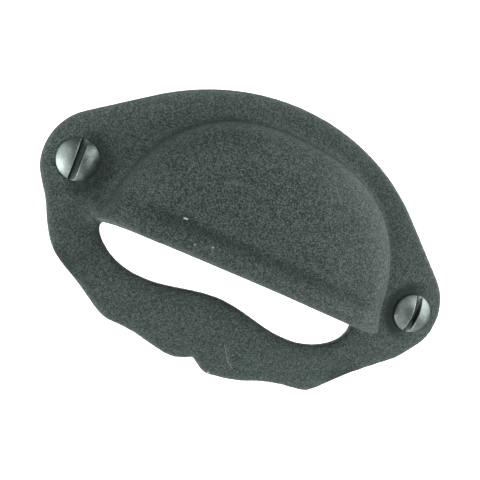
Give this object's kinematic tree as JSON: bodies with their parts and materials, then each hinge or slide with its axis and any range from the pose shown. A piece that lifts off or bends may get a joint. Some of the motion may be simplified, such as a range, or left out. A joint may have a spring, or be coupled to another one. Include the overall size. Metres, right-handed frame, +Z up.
{
  "type": "cup pull",
  "caption": "Pressed iron cup pull: a wavy-edged plate with a drawn hood over a finger window, fixed by slotted screws through its ears.",
  "frame": {"origin": "midway between the two screw holes, on the back face of the plate", "axes": "+X to the right as the user faces the pull, +Y into the drawer front, +Z up; the hood stands out towards -Y and opens downwards"},
  "size_m": [0.1073, 0.0318, 0.0677],
  "materials": {
    "dark_iron": "matt dark grey with a fine sandy grain",
    "screw_steel": "satin grey steel"
  },
  "bodies": {
    "root": {"pull": "dark_iron", "screws": "screw_steel"}
  },
  "joints": []
}
